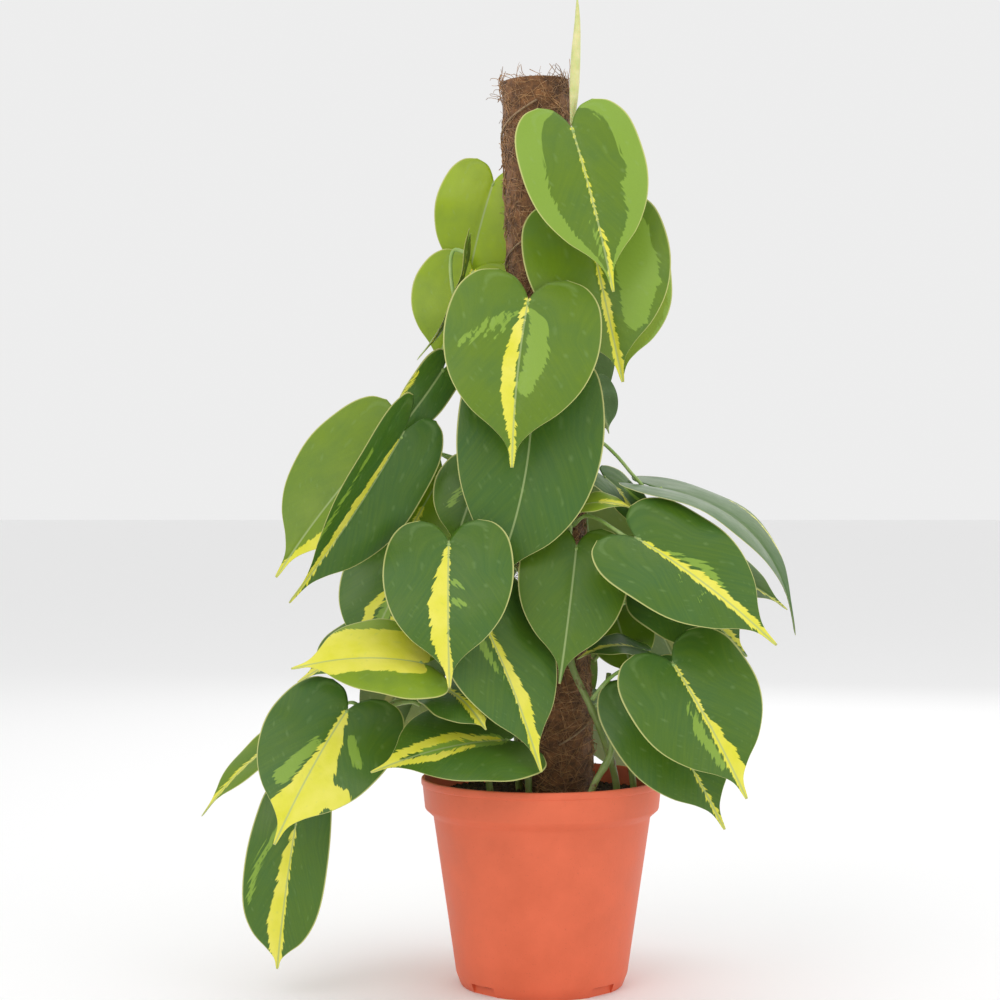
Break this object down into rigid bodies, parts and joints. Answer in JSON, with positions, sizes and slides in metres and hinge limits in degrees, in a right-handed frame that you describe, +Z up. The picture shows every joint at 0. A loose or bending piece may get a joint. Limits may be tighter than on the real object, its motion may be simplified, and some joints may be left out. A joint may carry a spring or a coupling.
{
  "type": "potted climbing philodendron on a coir pole",
  "caption": "House plant with heart-shaped variegated leaves climbing a coir pole, rooted in soil in a round tapered plastic nursery pot.",
  "frame": {"origin": "centre of the pot's foot, on the surface it stands on", "axes": "+Z up along the pot's axis, -Y towards the side most leaves face"},
  "size_m": [0.3619, 0.2258, 0.606],
  "materials": {
    "plastic": "satin, terracotta-coloured",
    "soil": "crumbly, dark brown",
    "coir": "rough fibre",
    "wood": "plain",
    "twine": "thin twisted cord",
    "stem": "smooth, satin",
    "new_leaf": "smooth, pale yellow",
    "leaf": "satin green with yellow and lime streaks"
  },
  "bodies": {
    "root": {"pot": "plastic", "soil": "soil", "coir_wrap": "coir", "pole_core": "wood", "binding_twine": "twine", "vine_front": "stem", "vine_left": "stem", "vine_back_left": "stem", "vine_back_right": "stem", "vine_right": "stem", "vine_trailing": "stem", "shoot_short": "stem", "shoot_right": "stem", "new_leaf": "new_leaf", "leaf_01": "leaf", "leaf_02": "leaf", "leaf_03": "leaf", "leaf_04": "leaf", "leaf_05": "leaf", "leaf_06": "leaf", "leaf_07": "leaf", "leaf_08": "leaf", "leaf_09": "leaf", "leaf_10": "leaf", "leaf_11": "leaf", "leaf_12": "leaf", "leaf_13": "leaf", "leaf_14": "leaf", "leaf_15": "leaf", "leaf_16": "leaf", "leaf_17": "leaf", "leaf_18": "leaf", "leaf_19": "leaf", "leaf_20": "leaf", "leaf_21": "leaf", "leaf_22": "leaf", "leaf_23": "leaf", "leaf_24": "leaf", "leaf_25": "leaf", "leaf_26": "leaf", "leaf_27": "leaf", "leaf_28": "leaf", "leaf_29": "leaf", "leaf_30": "leaf", "leaf_31": "leaf", "leaf_32": "leaf", "leaf_33": "leaf", "leaf_34": "leaf", "leaf_35": "leaf", "leaf_36": "leaf", "leaf_37": "leaf", "leaf_38": "leaf", "leaf_39": "leaf", "leaf_40": "leaf", "leaf_41": "leaf", "leaf_42": "leaf", "leaf_43": "leaf", "leaf_44": "leaf", "leaf_45": "leaf", "leaf_46": "leaf"}
  },
  "joints": []
}
